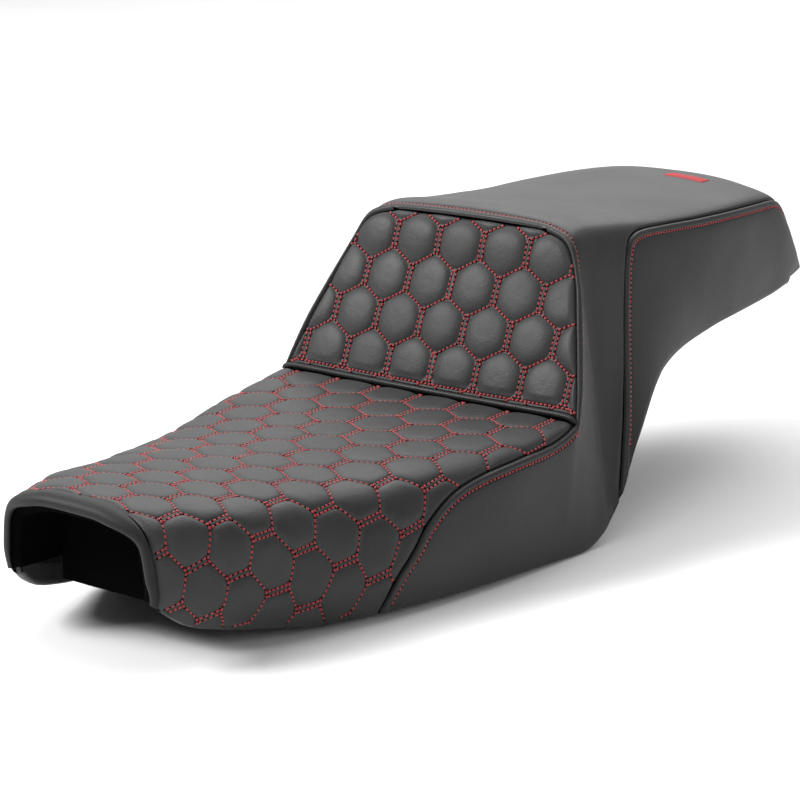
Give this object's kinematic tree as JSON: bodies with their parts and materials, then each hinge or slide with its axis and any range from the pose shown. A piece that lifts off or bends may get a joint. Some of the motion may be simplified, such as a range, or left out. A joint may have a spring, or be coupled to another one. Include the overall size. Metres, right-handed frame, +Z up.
{
  "type": "motorcycle seat",
  "caption": "Stepped rider-and-passenger motorcycle seat: quilted vinyl covers over foam on a moulded pan, with bumpers, a front hook and a rear tab with a captive screw.",
  "frame": {"origin": "centre of the bounding box at its bottom: on the middle plane, half way along, at the level of the pan's lowest edge", "axes": "+Z up, +Y towards the tail (the nose points along -Y), +X to the rider's left"},
  "size_m": [0.2754, 0.798, 0.2298],
  "materials": {
    "quilted_vinyl": "satin",
    "black_vinyl": "satin",
    "welt_vinyl": "satin",
    "red_label": "matte",
    "moulded_foam": "matte",
    "pan_plastic": "matte",
    "zinc_steel": "satin",
    "black_rubber": "matte"
  },
  "bodies": {
    "seat": {"driver_cover": "quilted_vinyl", "backrest_cover": "quilted_vinyl", "centre_cover": "black_vinyl", "rear_side_panel_left": "black_vinyl", "rear_side_panel_right": "black_vinyl", "nose_binding": "black_vinyl", "backrest_welt": "welt_vinyl", "tail_label": "red_label", "driver_foam": "moulded_foam", "step_foam": "moulded_foam", "passenger_foam": "moulded_foam", "seat_pan": "pan_plastic", "front_hook_bracket": "zinc_steel", "rear_tab": "zinc_steel", "front_rivet_left_1": "zinc_steel", "front_rivet_left_2": "zinc_steel", "front_rivet_right_1": "zinc_steel", "front_rivet_right_2": "zinc_steel", "rear_rivet_1": "zinc_steel", "rear_rivet_2": "zinc_steel", "bumper_front_left": "black_rubber", "bumper_front_right": "black_rubber", "bumper_middle_left": "black_rubber", "bumper_middle_right": "black_rubber", "bumper_rear_left": "black_rubber", "bumper_rear_right": "black_rubber", "hem_strip_front_left": "black_vinyl", "hem_strip_front_right": "black_vinyl", "hem_strip_rear_left": "black_vinyl", "hem_strip_rear_right": "black_vinyl"},
    "screw": {"mounting_screw": "zinc_steel", "retaining_washer": "zinc_steel"}
  },
  "joints": [
    {"name": "mounting_screw_turn", "type": "hinge", "parent": "seat", "child": "screw", "pos_m": [0, 0.386, 0.13486], "axis": [0, 0, 1], "continuous": true}
  ]
}
